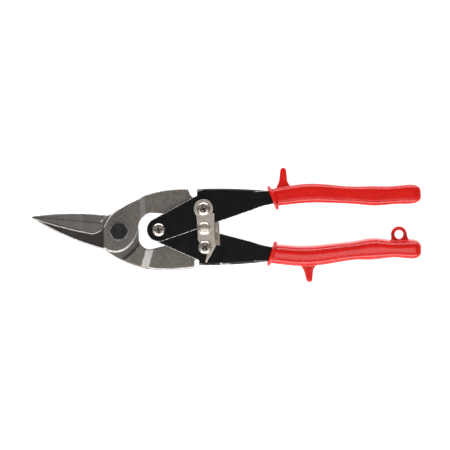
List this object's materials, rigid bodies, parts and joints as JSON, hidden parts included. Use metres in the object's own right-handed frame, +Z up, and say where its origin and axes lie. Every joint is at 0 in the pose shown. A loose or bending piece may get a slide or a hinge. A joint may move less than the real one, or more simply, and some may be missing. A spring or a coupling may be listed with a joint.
{
  "type": "aviation snips",
  "caption": "Compound-action hand shears for sheet metal, with a latch, a return spring and dipped grips, closed and lying flat.",
  "frame": {"origin": "middle of the tool's box on the surface it lies on", "axes": "+X along the tool from the jaws to the grips, +Y towards the upper handle, +Z up out of the face that carries the latch"},
  "size_m": [0.2504, 0.0738, 0.0209],
  "materials": {
    "blade_steel": "satin forged and ground tool steel",
    "black_paint": "gloss black paint",
    "red_vinyl": "gloss dipped soft vinyl",
    "black_steel": "black oxide",
    "nickel_plate": "nickel plate",
    "bush_steel": "turned steel",
    "spring_steel": "bright spring wire"
  },
  "bodies": {
    "lower_handle": {"lower_handle": "black_paint", "lower_grip": "red_vinyl", "lower_screw": "nickel_plate", "lower_nut": "nickel_plate", "lower_lock_washer": "nickel_plate", "lower_bush": "bush_steel", "return_spring_leg": "spring_steel"},
    "rear_blade": {"rear_blade": "blade_steel", "pivot_bolt": "black_steel", "pivot_nut": "black_steel", "pivot_washer": "black_steel"},
    "front_blade": {"front_blade": "blade_steel"},
    "upper_handle": {"centre_bush": "bush_steel", "centre_lock_washer": "nickel_plate", "centre_nut": "nickel_plate", "centre_screw": "nickel_plate", "return_spring_coil": "spring_steel", "upper_bush": "bush_steel", "upper_grip": "red_vinyl", "upper_handle": "black_paint", "upper_lock_washer": "nickel_plate", "upper_nut": "nickel_plate", "upper_screw": "nickel_plate"},
    "latch": {"latch": "nickel_plate"}
  },
  "joints": [
    {"name": "lower_handle_pivot", "type": "hinge", "parent": "lower_handle", "child": "rear_blade", "pos_m": [-0.0142, -0.012, 0.0096], "axis": [0, 0, 1], "range_deg": [0, 12.2]},
    {"name": "main_pivot", "type": "hinge", "parent": "rear_blade", "child": "front_blade", "pos_m": [-0.0686, 0.0003, 0.0096], "axis": [0, 0, 1], "range_deg": [0, 24]},
    {"name": "upper_handle_pivot", "type": "hinge", "parent": "front_blade", "child": "upper_handle", "pos_m": [-0.0142, 0.0126, 0.0096], "axis": [0, 0, 1], "range_deg": [0, 12.2]},
    {"name": "latch_pivot", "type": "hinge", "parent": "upper_handle", "child": "latch", "pos_m": [-0.0142, 0.0126, 0.0096], "axis": [0, 0, 1], "range_deg": [-3.5, 50]}
  ],
  "couplings": [
    {"joint": "lower_handle_pivot", "follows": "main_pivot", "ratio": 0.507},
    {"joint": "upper_handle_pivot", "follows": "main_pivot", "ratio": 0.507}
  ]
}
